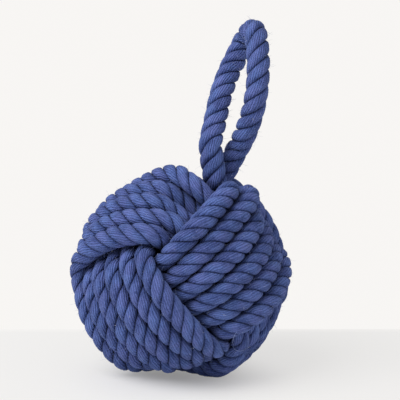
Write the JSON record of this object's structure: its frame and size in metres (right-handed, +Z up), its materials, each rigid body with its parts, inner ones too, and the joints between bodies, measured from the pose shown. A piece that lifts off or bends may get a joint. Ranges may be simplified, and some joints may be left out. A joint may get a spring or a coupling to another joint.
{
  "type": "rope knot doorstop",
  "caption": "Heavy doorstop: a ball knot of thick blue rope tied over a bag of sand, with a rope loop handle on top that swings to either side.",
  "frame": {"origin": "on the floor under the middle of the bounding box", "axes": "+Z up, -Y towards the viewer of the picture, +X to that viewer's right"},
  "size_m": [0.1426, 0.1436, 0.2269],
  "materials": {
    "blue_rope": "matt laid cotton rope, slightly hairy",
    "bag_cotton": "plain unbleached cotton",
    "sand": "dry sand",
    "twine": "waxed twine"
  },
  "bodies": {
    "knot": {"knot_rope": "blue_rope", "tucked_end": "blue_rope", "sand_bag": "bag_cotton", "sand_fill": "sand", "neck_twine": "twine"},
    "handle": {"handle_loop": "blue_rope"}
  },
  "joints": [
    {"name": "handle_swing", "type": "hinge", "parent": "knot", "child": "handle", "pos_m": [0.02584, 0.00641, 0.13988], "axis": [0.7272, 0.6782, -0.1062], "range_deg": [-45, 45]}
  ]
}
